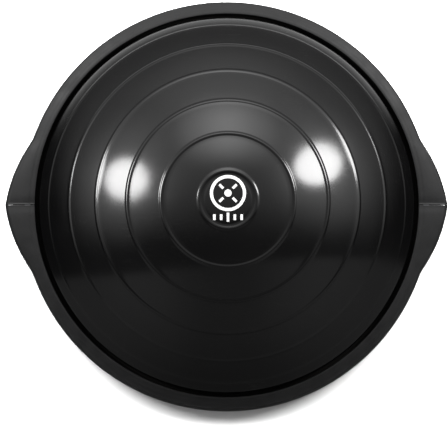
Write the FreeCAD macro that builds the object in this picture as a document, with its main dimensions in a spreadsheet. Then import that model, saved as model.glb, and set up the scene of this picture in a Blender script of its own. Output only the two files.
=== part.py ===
"""Balance dome trainer: a ribbed round platform, a clamping rim with two handles, and an air-filled dome.

Frame: the platform lies flat on its feet at z = 0, the dome points up along +Z, and the handles
point along +X and -X. Lengths are millimetres.
"""

import FreeCAD, Part
import math
import os

import Sketcher

OUT_FOLDER = "parts"

# Driving dimensions: alias, value, what it is.
DRIVING = [
    ("total_height", 248.0, "floor to the top of the dome"),
    ("overall_length", 702.0, "handle tip to handle tip"),
    ("rim_radius", 325.0, "outer radius of the clamping rim"),
    ("rim_inner_radius", 304.0, "inner radius of the rim's top flange"),
    ("rim_lip", 3.0, "thickness of the rim's inner lip"),
    ("rim_wall", 3.8, "thickness of the rim's outer wall"),
    ("rim_flange", 4.0, "thickness of the rim's top flange"),
    ("rim_bottom", 9.0, "height of the rim's lower edge"),
    ("rim_top", 52.0, "height of the rim's top face"),
    ("rim_lip_bottom", 35.4, "height of the lip's lower edge, over the bead"),
    ("rim_round", 3.0, "rounding of the rim's outer top edge"),
    ("seam_gap", 0.6, "gap between the two rim halves"),
    ("handle_arc_radius", 235.0, "radius of each arc of a handle's outline"),
    ("handle_arc_offset", 34.8, "distance of that arc's centre past the centre line"),
    ("dome_radius", 325.0, "radius of the dome's outer sphere"),
    ("dome_wall_radius", 298.5, "outer radius of the dome's upright foot"),
    ("dome_thickness", 3.5, "wall thickness of the dome"),
    ("dome_round", 6.0, "rounding where the dome turns down into its upright foot"),
    ("ridge_first", 8.4, "angle of the badge ring from the dome's axis, degrees"),
    ("ridge_second", 18.9, "angle of the first plain ridge, degrees"),
    ("ridge_pitch", 10.3, "angle from one plain ridge to the next, degrees"),
    ("ridge_rise", 1.3, "height of a ridge over the sphere"),
    ("ridge_round", 5.4, "radius of a ridge's section"),
    ("bead_circle", 306.0, "radius of the bead's centre line"),
    ("bead_radius", 3.0, "radius of the bead's section"),
    ("bead_height", 32.0, "height of the bead's centre line"),
    ("flange_thickness", 4.0, "thickness of the dome's clamped flange"),
    ("floor_bottom", 26.2, "height of the bladder floor's underside"),
    ("floor_thickness", 3.5, "thickness of the bladder floor"),
    ("floor_radius", 303.0, "radius of the bladder floor"),
    ("cover_bottom", 3.0, "height of the deck cover's underside"),
    ("cover_thickness", 4.0, "thickness of the deck cover"),
    ("cover_radius", 312.0, "radius of the deck cover"),
    ("cover_chamfer", 1.5, "chamfer of the deck cover's lower edge"),
    ("deck_top", 26.0, "height of the deck frame's top face"),
    ("deck_skin", 4.0, "thickness of the deck frame's skin"),
    ("deck_radius", 321.0, "outer radius of the deck frame's flange"),
    ("deck_wall_outer", 312.5, "outer radius of the deck frame's ring wall"),
    ("deck_wall", 4.5, "thickness of the deck frame's ring wall"),
    ("upstand_inner", 309.6, "inner radius of the upstand round the bead"),
    ("upstand_thickness", 1.6, "thickness of that upstand"),
    ("upstand_top", 37.0, "height of that upstand"),
    ("rib_thickness", 3.0, "thickness of the deck ribs"),
    ("rib_ring_inner", 110.0, "inner radius of the inner ring rib"),
    ("rib_ring_outer", 205.0, "inner radius of the outer ring rib"),
    ("eye_radius", 60.0, "radius of the opening in the middle of the deck frame"),
    ("eye_collar", 3.0, "wall of the collar round that opening"),
    ("port_radius", 30.0, "radius of the valve port through the deck cover"),
    ("port_collar", 3.0, "wall of the port's collar"),
    ("port_top", 21.0, "height of the port's collar"),
    ("rim_screw_circle", 316.4, "radius of the rim screws' circle"),
    ("rim_screw_count", 16, "number of rim screws"),
    ("rim_boss_radius", 5.0, "radius of the rim's screw bosses"),
    ("column_radius", 4.6, "radius of the deck's screw columns"),
    ("rim_screw_seat", 18.0, "height of the face under which a rim screw's head sits"),
    ("rim_screw_length", 26.0, "length of a rim screw's shank"),
    ("cover_screw_circle", 296.0, "radius of the cover screws' circle"),
    ("cover_screw_count", 8, "number of cover screws"),
    ("cover_screw_seat", 5.6, "height of the face under which a cover screw's head sits"),
    ("cover_screw_length", 12.0, "length of a cover screw's shank"),
    ("cover_boss_radius", 5.0, "radius of the deck's bosses for the cover screws"),
    ("splice_screw_near", 11.0, "distance of the inner splice screws from the seam"),
    ("splice_screw_far", 25.0, "distance of the outer splice screws from the seam"),
    ("splice_screw_length", 9.5, "length of a splice screw's shank"),
    ("splice_boss_radius", 4.0, "radius of the rim's bosses over a splice plate"),
    ("splice_middle", 314.0, "distance of a splice plate's middle from the axis"),
    ("splice_width", 9.6, "width of a splice plate"),
    ("splice_length", 64.0, "length of a splice plate"),
    ("splice_bottom", 38.0, "height of a splice plate's underside"),
    ("splice_thickness", 3.0, "thickness of a splice plate"),
    ("screw_head_radius", 3.1, "radius of a screw's head"),
    ("screw_head_height", 2.2, "height of a screw's head"),
    ("screw_shank_radius", 1.75, "radius of a screw's shank"),
    ("screw_play", 0.05, "radial play round a shank in its pilot hole"),
    ("hole_play", 0.2, "radial play round a shank or a head in its clearance hole"),
    ("foot_circle", 270.0, "radius of the circle on which the feet stand"),
    ("foot_count", 8, "number of feet"),
    ("foot_radius", 20.0, "radius of a foot's pad"),
    ("foot_thickness", 4.0, "thickness of a foot's pad"),
    ("foot_chamfer", 1.5, "chamfer of a foot's lower edge"),
    ("foot_play", 0.3, "play round a foot's pad in its recess"),
    ("spigot_radius", 6.0, "radius of a foot's spigot"),
    ("spigot_top", 11.0, "height of a foot's spigot"),
    ("valve_bore", 3.3, "radius of the valve socket's bore"),
    ("valve_flange_radius", 11.0, "radius of the valve socket's two flanges"),
    ("valve_flange", 1.9, "thickness of each of those flanges"),
    ("valve_stem_radius", 6.0, "radius of the socket's neck in the bladder floor"),
    ("valve_tube_radius", 5.2, "radius of the socket's tube above the floor"),
    ("valve_tube_top", 38.0, "height of the socket's tube"),
    ("fit_play", 0.05, "play between pieces that plug together"),
    ("plug_head_radius", 7.0, "radius of the plug's head"),
    ("plug_head_height", 2.4, "height of the plug's head"),
    ("plug_tab_length", 9.0, "length of the plug's pull tab"),
    ("plug_tab_thickness", 2.6, "thickness of the plug's pull tab"),
    ("plug_tab_height", 4.7, "height of the plug's pull tab"),
    ("plug_taper", 0.8, "narrowing of the plug's nose"),
]

PLAIN_RIDGES = 5
BASE_OVERLAP = 1.0


class Size:
    """A length known twice: as a number, and as the formula on the sheet's cells that gives it."""

    def __init__(self, value, formula):
        self.value = float(value)
        self.formula = formula

    def __add__(self, other):
        other = as_size(other)
        return Size(self.value + other.value, f"({self.formula} + {other.formula})")

    def __sub__(self, other):
        other = as_size(other)
        return Size(self.value - other.value, f"({self.formula} - {other.formula})")

    def __mul__(self, other):
        other = as_size(other)
        return Size(self.value * other.value, f"({self.formula} * {other.formula})")

    def __truediv__(self, other):
        other = as_size(other)
        return Size(self.value / other.value, f"({self.formula} / {other.formula})")

    def __neg__(self):
        return Size(-self.value, f"(-{self.formula})")


def as_size(number):
    """A plain number as a Size; a Size stays as it is."""
    if isinstance(number, Size):
        return number
    return Size(number, f"({number})")


def sine(angle):
    """The sine of an angle in degrees."""
    return Size(math.sin(math.radians(angle.value)), f"sin({angle.formula} * 1 deg)")


def cosine(angle):
    """The cosine of an angle in degrees."""
    return Size(math.cos(math.radians(angle.value)), f"cos({angle.formula} * 1 deg)")


def other_leg(hypotenuse, leg):
    """The second leg of a right-angled triangle."""
    value = math.sqrt(hypotenuse.value**2 - leg.value**2)
    return Size(value, f"sqrt({hypotenuse.formula} ^ 2 - {leg.formula} ^ 2)")


class Arc:
    """An edge of an outline that runs round a centre, anticlockwise or clockwise."""

    def __init__(self, centre_x, centre_y, radius, anticlockwise=True):
        self.centre_x = as_size(centre_x)
        self.centre_y = as_size(centre_y)
        self.radius = as_size(radius)
        self.anticlockwise = anticlockwise

    def angle_to(self, x, y):
        """The direction from the centre to a point, in radians."""
        return math.atan2(y - self.centre_y.value, x - self.centre_x.value)


LINE = None


def make_sheet(doc):
    """The spreadsheet of driving dimensions, and a Size for each of its cells."""
    sheet = doc.addObject("Spreadsheet::Sheet", "Sizes")
    sizes = {}
    for row, (alias, value, meaning) in enumerate(DRIVING, start=1):
        sheet.set(f"A{row}", meaning)
        sheet.set(f"B{row}", str(value))
        sheet.setAlias(f"B{row}", alias)
        sizes[alias] = Size(value, f"Sizes.{alias}")
    doc.recompute()
    return sizes


def origin_feature(body, role):
    """A body's own origin plane or axis."""
    for feature in body.Origin.OriginFeatures:
        if feature.Role == role:
            return feature
    raise ValueError(role)


def bind(item, prop, size):
    """Drives one property of an object from the sheet."""
    item.setExpression(prop, size.formula)


def bind_point(sketch, geometry, point, x, y):
    """Holds a point of a sketch at each coordinate that is a Size; plain numbers stay free."""
    for kind, axis, size in (("DistanceX", -2, x), ("DistanceY", -1, y)):
        if not isinstance(size, Size):
            continue
        if abs(size.value) < 1e-9:
            sketch.addConstraint(Sketcher.Constraint("PointOnObject", geometry, point, axis))
            continue
        constraint = Sketcher.Constraint(kind, -1, 1, geometry, point, size.value)
        index = sketch.addConstraint(constraint)
        bind(sketch, f"Constraints[{index}]", size)


def number(coordinate):
    """The value of a coordinate that is either a Size or a plain number."""
    return coordinate.value if isinstance(coordinate, Size) else coordinate


def draw_outline(sketch, corners, edges=None):
    """Draws a closed outline; edge i runs from corner i to the next, straight or round an Arc."""
    edges = edges or [LINE] * len(corners)
    first = sketch.GeometryCount
    starts = []
    for index, edge in enumerate(edges):
        x1, y1 = (number(c) for c in corners[index])
        x2, y2 = (number(c) for c in corners[(index + 1) % len(corners)])
        if edge is LINE:
            line = Part.LineSegment(FreeCAD.Vector(x1, y1, 0), FreeCAD.Vector(x2, y2, 0))
            sketch.addGeometry(line, False)
            starts.append((1, 2))
            continue
        centre = FreeCAD.Vector(edge.centre_x.value, edge.centre_y.value, 0)
        circle = Part.Circle(centre, FreeCAD.Vector(0, 0, 1), edge.radius.value)
        angles = [edge.angle_to(x1, y1), edge.angle_to(x2, y2)]
        if not edge.anticlockwise:
            angles.reverse()
        sketch.addGeometry(Part.ArcOfCircle(circle, angles[0], angles[1]), False)
        starts.append((1, 2) if edge.anticlockwise else (2, 1))
    for index in range(len(edges)):
        following = (index + 1) % len(edges)
        end = starts[index][1]
        start = starts[following][0]
        joined = Sketcher.Constraint("Coincident", first + index, end, first + following, start)
        sketch.addConstraint(joined)
    for index, edge in enumerate(edges):
        bind_point(sketch, first + index, starts[index][0], *corners[index])
        if edge is not LINE:
            bind_point(sketch, first + index, 3, edge.centre_x, edge.centre_y)
            bind_radius(sketch, first + index, edge.radius)


def bind_radius(sketch, geometry, radius):
    """Drives the radius of a circle or arc from the sheet."""
    index = sketch.addConstraint(Sketcher.Constraint("Radius", geometry, radius.value))
    bind(sketch, f"Constraints[{index}]", radius)


def draw_circle(sketch, x, y, radius):
    """Draws a full circle."""
    x, y, radius = as_size(x), as_size(y), as_size(radius)
    centre = FreeCAD.Vector(x.value, y.value, 0)
    circle = Part.Circle(centre, FreeCAD.Vector(0, 0, 1), radius.value)
    index = sketch.addGeometry(circle, False)
    bind_point(sketch, index, 3, x, y)
    bind_radius(sketch, index, radius)


def flat_sketch(body, name, height, turn=0.0):
    """A horizontal sketch at a height, turned about the Z axis by so many degrees."""
    sketch = body.newObject("Sketcher::SketchObject", name)
    sketch.AttachmentSupport = [(origin_feature(body, "XY_Plane"), "")]
    sketch.MapMode = "FlatFace"
    turned = FreeCAD.Rotation(FreeCAD.Vector(0, 0, 1), turn)
    sketch.AttachmentOffset = FreeCAD.Placement(FreeCAD.Vector(0, 0, height.value), turned)
    bind(sketch, "AttachmentOffset.Base.z", height)
    return sketch


def revolve(body, name, corners, edges=None):
    """A ring-shaped feature: an outline of (radius, height) corners turned about the Z axis."""
    sketch = body.newObject("Sketcher::SketchObject", name + "_section")
    sketch.AttachmentSupport = [(origin_feature(body, "XZ_Plane"), "")]
    sketch.MapMode = "FlatFace"
    draw_outline(sketch, corners, edges)
    feature = body.newObject("PartDesign::Revolution", name)
    feature.Profile = sketch
    feature.ReferenceAxis = (sketch, ["V_Axis"])
    feature.Angle = 360.0
    sketch.Visibility = False
    body.Document.recompute()
    return feature


def pad(body, name, sketch, height):
    """Adds material above a flat sketch."""
    feature = body.newObject("PartDesign::Pad", name)
    feature.Profile = sketch
    bind(feature, "Length", height)
    body.Document.recompute()
    return feature


def pocket_up(body, name, sketch, height):
    """Cuts upwards from a flat sketch, and makes sure that it took material away."""
    before = body.Shape.Volume
    feature = body.newObject("PartDesign::Pocket", name)
    feature.Profile = sketch
    feature.Reversed = True
    bind(feature, "Length", height)
    body.Document.recompute()
    if body.Shape.Volume > before - 1.0:
        raise RuntimeError(f"{body.Label}: {name} cut nothing")
    return feature


def polar(body, name, feature, count, angle=360.0):
    """Repeats a feature about the Z axis."""
    pattern = body.newObject("PartDesign::PolarPattern", name)
    pattern.Originals = [feature]
    pattern.Axis = (origin_feature(body, "Z_Axis"), [""])
    pattern.Angle = angle
    pattern.Occurrences = count
    body.Tip = pattern
    body.Document.recompute()
    return pattern


def new_body(doc, label):
    """An empty body whose label names its file."""
    body = doc.addObject("PartDesign::Body", label)
    body.Label = label
    return body


def meeting_point(arc_a, arc_b, upper):
    """Where two circles cross: the crossing with the higher y, or the lower one."""
    ax, ay, ra = arc_a.centre_x.value, arc_a.centre_y.value, arc_a.radius.value
    bx, by, rb = arc_b.centre_x.value, arc_b.centre_y.value, arc_b.radius.value
    span = math.hypot(bx - ax, by - ay)
    along = (ra * ra - rb * rb + span * span) / (2 * span)
    aside = math.sqrt(ra * ra - along * along)
    ux, uy = (bx - ax) / span, (by - ay) / span
    points = [(ax + along * ux - s * aside * uy, ay + along * uy + s * aside * ux) for s in (1, -1)]
    points.sort(key=lambda point: point[1])
    return points[1] if upper else points[0]


def half_step(count):
    """Half of the angle between neighbours on a full circle, in degrees."""
    return 180.0 / count.value


def make_deck_frame(doc, d):
    """The ribbed moulding that carries the bladder and the rim."""
    body = new_body(doc, "deck_frame")
    rib_bottom = d["cover_bottom"] + d["cover_thickness"]
    skin_bottom = d["deck_top"] - d["deck_skin"]
    collar = d["eye_radius"] + d["eye_collar"]
    wall_inner = d["deck_wall_outer"] - d["deck_wall"]
    upstand_outer = d["upstand_inner"] + d["upstand_thickness"]
    revolve(body, "deck_shell", [
        (d["eye_radius"], rib_bottom),
        (collar, rib_bottom),
        (collar, skin_bottom),
        (wall_inner, skin_bottom),
        (wall_inner, rib_bottom),
        (d["deck_wall_outer"], rib_bottom),
        (d["deck_wall_outer"], skin_bottom),
        (d["deck_radius"], skin_bottom),
        (d["deck_radius"], d["deck_top"]),
        (upstand_outer, d["deck_top"]),
        (upstand_outer, d["upstand_top"]),
        (d["upstand_inner"], d["upstand_top"]),
        (d["upstand_inner"], d["deck_top"]),
        (d["eye_radius"], d["deck_top"]),
    ])
    rib_height = skin_bottom + BASE_OVERLAP - rib_bottom
    for name, inner in (("inner_ring_rib", "rib_ring_inner"), ("outer_ring_rib", "rib_ring_outer")):
        sketch = flat_sketch(body, name + "_plan", rib_bottom)
        draw_circle(sketch, 0, 0, d[inner])
        draw_circle(sketch, 0, 0, d[inner] + d["rib_thickness"])
        pad(body, name, sketch, rib_height)
    turn = half_step(d["rim_screw_count"])
    count = int(d["rim_screw_count"].value)
    half_rib = d["rib_thickness"] / 2
    rib = flat_sketch(body, "radial_rib_plan", rib_bottom, turn)
    draw_outline(rib, [
        (collar - BASE_OVERLAP, -half_rib),
        (wall_inner + BASE_OVERLAP, -half_rib),
        (wall_inner + BASE_OVERLAP, half_rib),
        (collar - BASE_OVERLAP, half_rib),
    ])
    draw_circle(rib, d["rim_screw_circle"], 0, d["column_radius"])
    polar(body, "radial_ribs", pad(body, "radial_rib", rib, rib_height), count)
    seat = flat_sketch(body, "rim_screw_seat_plan", rib_bottom, turn)
    draw_circle(seat, d["rim_screw_circle"], 0, d["screw_head_radius"] + d["hole_play"])
    seats = pocket_up(body, "rim_screw_counterbore", seat, d["rim_screw_seat"] - rib_bottom)
    polar(body, "rim_screw_counterbores", seats, count)
    hole = flat_sketch(body, "rim_screw_hole_plan", rib_bottom, turn)
    draw_circle(hole, d["rim_screw_circle"], 0, d["screw_shank_radius"] + d["hole_play"])
    holes = pocket_up(body, "rim_screw_hole", hole, d["deck_top"] - rib_bottom + BASE_OVERLAP)
    polar(body, "rim_screw_holes", holes, count)
    boss = flat_sketch(body, "cover_boss_plan", rib_bottom)
    draw_circle(boss, d["cover_screw_circle"], 0, d["cover_boss_radius"])
    count = int(d["cover_screw_count"].value)
    polar(body, "cover_bosses", pad(body, "cover_boss", boss, rib_height), count)
    pilot = flat_sketch(body, "cover_pilot_plan", rib_bottom)
    draw_circle(pilot, d["cover_screw_circle"], 0, d["screw_shank_radius"] + d["screw_play"])
    pilots = pocket_up(body, "cover_pilot", pilot, skin_bottom - rib_bottom - BASE_OVERLAP)
    polar(body, "cover_pilots", pilots, count)
    return body


def make_deck_cover(doc, d):
    """The flat underside plate: a collar round the valve port, and recesses for feet and screws."""
    body = new_body(doc, "deck_cover")
    top = d["cover_bottom"] + d["cover_thickness"]
    revolve(body, "plate", [
        (d["port_radius"], d["cover_bottom"]),
        (d["cover_radius"] - d["cover_chamfer"], d["cover_bottom"]),
        (d["cover_radius"], d["cover_bottom"] + d["cover_chamfer"]),
        (d["cover_radius"], top),
        (d["port_radius"] + d["port_collar"], top),
        (d["port_radius"] + d["port_collar"], d["port_top"]),
        (d["port_radius"], d["port_top"]),
    ])
    through = d["cover_thickness"] + BASE_OVERLAP
    foot_turn = half_step(d["foot_count"])
    cuts = [
        ("foot_recess", "foot_circle", d["foot_radius"] + d["foot_play"],
         d["foot_thickness"] - d["cover_bottom"], foot_turn, "foot_count"),
        ("spigot_hole", "foot_circle", d["spigot_radius"] + d["fit_play"],
         through, foot_turn, "foot_count"),
        ("screw_recess", "cover_screw_circle", d["screw_head_radius"] + d["hole_play"],
         d["cover_screw_seat"] - d["cover_bottom"], 0.0, "cover_screw_count"),
        ("screw_hole", "cover_screw_circle", d["screw_shank_radius"] + d["hole_play"],
         through, 0.0, "cover_screw_count"),
    ]
    for name, circle, radius, depth, turn, count in cuts:
        sketch = flat_sketch(body, name + "_plan", d["cover_bottom"], turn)
        draw_circle(sketch, d[circle], 0, radius)
        feature = pocket_up(body, name, sketch, depth)
        polar(body, name + "s", feature, int(d[count].value))
    return body


def make_foot(doc, d, index):
    """One rubber foot: a round pad with a spigot that plugs into the deck cover."""
    body = new_body(doc, f"rubber_foot_{index + 1}")
    revolve(body, "pad_and_spigot", [
        (Size(0, "0"), Size(0, "0")),
        (d["foot_radius"] - d["foot_chamfer"], Size(0, "0")),
        (d["foot_radius"], d["foot_chamfer"]),
        (d["foot_radius"], d["foot_thickness"]),
        (d["spigot_radius"], d["foot_thickness"]),
        (d["spigot_radius"], d["spigot_top"] - d["foot_chamfer"]),
        (d["spigot_radius"] - d["foot_chamfer"], d["spigot_top"]),
        (Size(0, "0"), d["spigot_top"]),
    ])
    angle = (as_size(index) + 0.5) * 360 / d["foot_count"]
    bind(body, "Placement.Base.x", d["foot_circle"] * cosine(angle))
    bind(body, "Placement.Base.y", d["foot_circle"] * sine(angle))
    return body


def handle_arc(d, side, inset):
    """The arc of a handle's outline above the centre line, moved inwards by an inset."""
    centre_x = d["overall_length"] / 2 - other_leg(d["handle_arc_radius"], d["handle_arc_offset"])
    if side < 0:
        centre_x = -centre_x
    return Arc(centre_x, -d["handle_arc_offset"], d["handle_arc_radius"] - inset)


def arc_x_at(arc, height, side):
    """Where a circle crosses a level line, on its outer side."""
    reach = math.sqrt(arc.radius.value**2 - (height.value - arc.centre_y.value) ** 2)
    return arc.centre_x.value + side * reach


def make_rim_half(doc, d, label, turn):
    """Half of the clamping rim with half of each handle; both halves are the same moulding."""
    body = new_body(doc, label)
    seam = d["seam_gap"] / 2
    height = d["rim_top"] - d["rim_bottom"]
    rim = Arc(0, 0, d["rim_radius"])
    inner = Arc(0, 0, d["rim_inner_radius"], False)
    right, left = handle_arc(d, 1, 0), handle_arc(d, -1, 0)
    plan = flat_sketch(body, "outline_plan", d["rim_bottom"])
    draw_outline(plan, [
        (arc_x_at(inner, seam, 1), seam),
        (arc_x_at(right, seam, 1), seam),
        meeting_point(right, rim, True),
        meeting_point(left, rim, True),
        (arc_x_at(left, seam, -1), seam),
        (arc_x_at(inner, seam, -1), seam),
    ], [LINE, right, rim, left, LINE, inner])
    block = pad(body, "outline", plan, height)

    edges = [f"Edge{i + 1}" for i, edge in enumerate(block.Shape.Edges) if is_outer_top(edge, d)]
    rounding = body.newObject("PartDesign::Fillet", "top_rounding")
    rounding.Base = (block, edges)
    bind(rounding, "Radius", d["rim_round"])
    doc.recompute()

    wall_inner = d["rim_radius"] - d["rim_wall"]
    room = flat_sketch(body, "bead_room_plan", d["rim_bottom"])
    draw_circle(room, 0, 0, wall_inner)
    pocket_up(body, "bead_room", room, d["rim_lip_bottom"] - d["rim_bottom"])
    channel = flat_sketch(body, "channel_plan", d["rim_bottom"])
    draw_circle(channel, 0, 0, wall_inner)
    draw_circle(channel, 0, 0, d["rim_inner_radius"] + d["rim_lip"])
    pocket_up(body, "channel", channel, height - d["rim_flange"])
    for side, name in ((1, "right"), (-1, "left")):
        cut_finger_pocket(body, d, side, name, height - d["rim_flange"])

    step = 2 * half_step(d["rim_screw_count"])
    count = int(d["rim_screw_count"].value) // 2
    boss_height = d["rim_top"] - d["rim_flange"] - d["deck_top"]
    boss = flat_sketch(body, "boss_plan", d["deck_top"], step / 2)
    draw_circle(boss, d["rim_screw_circle"], 0, d["rim_boss_radius"])
    bosses = pad(body, "boss", boss, boss_height + BASE_OVERLAP)
    polar(body, "bosses", bosses, count, step * (count - 1))
    pilot = flat_sketch(body, "pilot_plan", d["deck_top"], step / 2)
    draw_circle(pilot, d["rim_screw_circle"], 0, d["screw_shank_radius"] + d["screw_play"])
    pilots = pocket_up(body, "pilot", pilot, boss_height - BASE_OVERLAP)
    polar(body, "pilots", pilots, count, step * (count - 1))

    plate_top = d["splice_bottom"] + d["splice_thickness"]
    depth = d["rim_top"] - d["rim_flange"] - plate_top
    bosses = flat_sketch(body, "splice_boss_plan", plate_top)
    pilots = flat_sketch(body, "splice_pilot_plan", plate_top)
    for x in (d["splice_middle"], -d["splice_middle"]):
        for y in (d["splice_screw_near"], d["splice_screw_far"]):
            draw_circle(bosses, x, y, d["splice_boss_radius"])
            draw_circle(pilots, x, y, d["screw_shank_radius"] + d["screw_play"])
    pad(body, "splice_bosses", bosses, depth + BASE_OVERLAP)
    pocket_up(body, "splice_pilots", pilots, depth + BASE_OVERLAP)
    body.Placement = FreeCAD.Placement(FreeCAD.Vector(), FreeCAD.Rotation(FreeCAD.Vector(0, 0, 1), turn))
    return body


def is_outer_top(edge, d):
    """Whether an edge is part of the outer outline of the rim's top face."""
    middle = edge.valueAt((edge.FirstParameter + edge.LastParameter) / 2)
    on_top = abs(edge.BoundBox.ZMin - d["rim_top"].value) < 0.01 and edge.BoundBox.ZLength < 0.01
    outside = math.hypot(middle.x, middle.y) > d["rim_radius"].value - 1.0
    return on_top and outside and edge.Curve.TypeId == "Part::GeomCircle"


def cut_finger_pocket(body, d, side, name, height):
    """The hollow under one handle, open below, between the rim's wall and the handle's own wall."""
    wall = Arc(0, 0, d["rim_radius"], False)
    upper = handle_arc(d, side, d["rim_wall"])
    lower = Arc(upper.centre_x, -upper.centre_y, upper.radius)
    tip = (arc_x_at(upper, as_size(0), side), 0.0)
    above = meeting_point(upper, wall, True)
    below = meeting_point(lower, wall, False)
    plan = flat_sketch(body, name + "_finger_pocket_plan", d["rim_bottom"])
    if side > 0:
        draw_outline(plan, [below, tip, above], [lower, upper, wall])
    else:
        draw_outline(plan, [above, tip, below], [upper, lower, wall])
    pocket_up(body, name + "_finger_pocket", plan, height)


def make_splice_plate(doc, d, label, turn):
    """A steel strip that bridges the seam between the rim halves inside the channel."""
    body = new_body(doc, label)
    half_width = d["splice_width"] / 2
    half_length = d["splice_length"] / 2
    plan = flat_sketch(body, "strip_plan", d["splice_bottom"])
    draw_outline(plan, [
        (d["splice_middle"] - half_width, -half_length),
        (d["splice_middle"] + half_width, -half_length),
        (d["splice_middle"] + half_width, half_length),
        (d["splice_middle"] - half_width, half_length),
    ])
    for name in ("splice_screw_near", "splice_screw_far"):
        for y in (d[name], -d[name]):
            draw_circle(plan, d["splice_middle"], y, d["screw_shank_radius"] + d["hole_play"])
    pad(body, "strip", plan, d["splice_thickness"])
    body.Placement = FreeCAD.Placement(FreeCAD.Vector(), FreeCAD.Rotation(FreeCAD.Vector(0, 0, 1), turn))
    return body


def make_bladder_floor(doc, d):
    """The flat sheet that closes the dome from below."""
    body = new_body(doc, "bladder_floor")
    top = d["floor_bottom"] + d["floor_thickness"]
    hole = d["valve_stem_radius"] + d["fit_play"]
    revolve(body, "sheet", [
        (hole, d["floor_bottom"]),
        (d["floor_radius"], d["floor_bottom"]),
        (d["floor_radius"], top),
        (hole, top),
    ])
    return body


def make_dome_skin(doc, d):
    """The dome: a spherical wall with moulded ridges, an upright foot and a clamped bead."""
    body = new_body(doc, "dome_skin")
    centre = d["total_height"] - d["dome_radius"]
    axis = Size(0, "0")
    sphere = Arc(0, centre, d["dome_radius"], False)
    corners = [(axis, d["total_height"].value)]
    edges = []
    for index in range(PLAIN_RIDGES + 1):
        angle = d["ridge_first"]
        if index:
            angle = d["ridge_second"] + d["ridge_pitch"] * (index - 1)
        reach = d["dome_radius"] + d["ridge_rise"] - d["ridge_round"]
        ridge_x = reach * sine(angle)
        ridge_z = centre + reach * cosine(angle)
        ridge = Arc(ridge_x, ridge_z, d["ridge_round"], False)
        corners += [meeting_point(sphere, ridge, True), meeting_point(sphere, ridge, False)]
        edges += [Arc(0, centre, d["dome_radius"], False), ridge]
    foot_z = centre + other_leg(d["dome_radius"], d["dome_wall_radius"])
    corners.append((d["dome_wall_radius"], foot_z.value))
    edges.append(sphere)
    half_flange = d["flange_thickness"] / 2
    bead_x = d["bead_circle"] - other_leg(d["bead_radius"], half_flange)
    bead = Arc(d["bead_circle"], d["bead_height"], d["bead_radius"], False)
    inner_radius = d["dome_radius"] - d["dome_thickness"]
    inner_wall = d["dome_wall_radius"] - d["dome_thickness"]
    inner_foot = centre + other_leg(inner_radius, inner_wall)
    corners += [
        (d["dome_wall_radius"], d["bead_height"] + half_flange),
        (bead_x.value, d["bead_height"] + half_flange),
        (bead_x.value, d["bead_height"] - half_flange),
        (inner_wall, d["bead_height"] - half_flange),
        (inner_wall, inner_foot.value),
        (axis, (centre + inner_radius).value),
    ]
    edges += [LINE, LINE, bead, LINE, LINE, Arc(0, centre, inner_radius), LINE]
    shell = revolve(body, "shell", corners, edges)

    turned = [f"Edge{i + 1}" for i, edge in enumerate(shell.Shape.Edges)
              if not edge.Degenerated and edge.Curve.TypeId == "Part::GeomCircle"
              and abs(edge.Curve.Radius - d["dome_wall_radius"].value) < 0.01
              and abs(edge.BoundBox.ZMin - foot_z.value) < 0.05]
    rounding = body.newObject("PartDesign::Fillet", "shoulder_rounding")
    rounding.Base = (shell, turned)
    bind(rounding, "Radius", d["dome_round"])
    doc.recompute()
    return body


def make_valve_socket(doc, d):
    """The rubber grommet in the middle of the bladder floor."""
    body = new_body(doc, "valve_socket")
    lower = d["floor_bottom"] - d["fit_play"]
    upper = d["floor_bottom"] + d["floor_thickness"] + d["fit_play"]
    revolve(body, "grommet", [
        (d["valve_bore"], lower - d["valve_flange"]),
        (d["valve_flange_radius"], lower - d["valve_flange"]),
        (d["valve_flange_radius"], lower),
        (d["valve_stem_radius"], lower),
        (d["valve_stem_radius"], upper),
        (d["valve_flange_radius"], upper),
        (d["valve_flange_radius"], upper + d["valve_flange"]),
        (d["valve_tube_radius"], upper + d["valve_flange"]),
        (d["valve_tube_radius"], d["valve_tube_top"]),
        (d["valve_bore"], d["valve_tube_top"]),
    ])
    return body


def make_valve_plug(doc, d):
    """The plug that closes the valve, with a flat tab to pull it by."""
    body = new_body(doc, "valve_plug")
    shank = d["valve_bore"] - d["fit_play"]
    head_top = d["floor_bottom"] - d["fit_play"] * 2 - d["valve_flange"]
    head_bottom = head_top - d["plug_head_height"]
    revolve(body, "stopper", [
        (Size(0, "0"), head_bottom),
        (d["plug_head_radius"], head_bottom),
        (d["plug_head_radius"], head_top),
        (shank, head_top),
        (shank, d["valve_tube_top"] - d["plug_taper"] * 2),
        (shank - d["plug_taper"], d["valve_tube_top"]),
        (Size(0, "0"), d["valve_tube_top"]),
    ])
    half_length = d["plug_tab_length"] / 2
    half_thickness = d["plug_tab_thickness"] / 2
    plan = flat_sketch(body, "tab_plan", head_bottom - d["plug_tab_height"])
    draw_outline(plan, [
        (-half_length, -half_thickness),
        (half_length, -half_thickness),
        (half_length, half_thickness),
        (-half_length, half_thickness),
    ])
    pad(body, "tab", plan, d["plug_tab_height"] + BASE_OVERLAP)
    return body


def screw(d, x, y, seat, length):
    """One screw that points up: its head under the seat, its shank above it."""
    head = Part.makeCylinder(d["screw_head_radius"].value, d["screw_head_height"].value,
                             FreeCAD.Vector(x, y, seat - d["screw_head_height"].value))
    shank = Part.makeCylinder(d["screw_shank_radius"].value, length, FreeCAD.Vector(x, y, seat))
    return head.fuse(shank).removeSplitter()


def make_screw_group(doc, label, d, places, seat, length):
    """A group of equal screws, each a solid of its own."""
    group = doc.addObject("Part::Feature", label)
    group.Label = label
    group.Shape = Part.makeCompound([screw(d, x, y, seat.value, length.value) for x, y in places])
    group.Placement = FreeCAD.Placement()
    return group


def ring_places(circle, count, turn):
    """Evenly spaced places on a circle, the first one turned by so many degrees."""
    places = []
    for index in range(int(count.value)):
        angle = math.radians(turn + index * 360.0 / count.value)
        places.append((circle.value * math.cos(angle), circle.value * math.sin(angle)))
    return places


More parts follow.
